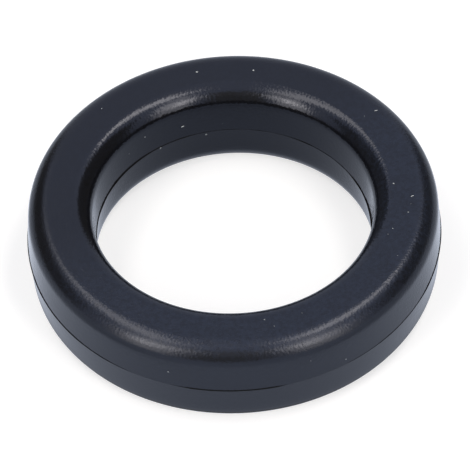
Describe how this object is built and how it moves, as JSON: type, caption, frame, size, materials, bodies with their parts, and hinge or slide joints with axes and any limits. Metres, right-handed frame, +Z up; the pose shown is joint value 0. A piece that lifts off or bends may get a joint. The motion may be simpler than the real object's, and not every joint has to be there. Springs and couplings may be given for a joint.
{
  "type": "damper ring",
  "caption": "Thick moulded rubber ring with rounded edges, drafted walls and a plain bore, slipped over a spigot or between two flat faces to damp knocks and vibration.",
  "frame": {"origin": "centre of the lower flat face, on the ring's axis", "axes": "+Z up the ring's axis; X and Y are any two radial directions, since the ring is round"},
  "size_m": [0.0452, 0.0452, 0.011],
  "materials": {
    "moulded_rubber": "satin, as it comes from the mould"
  },
  "bodies": {
    "root": {"damper_ring": "moulded_rubber"}
  },
  "joints": []
}
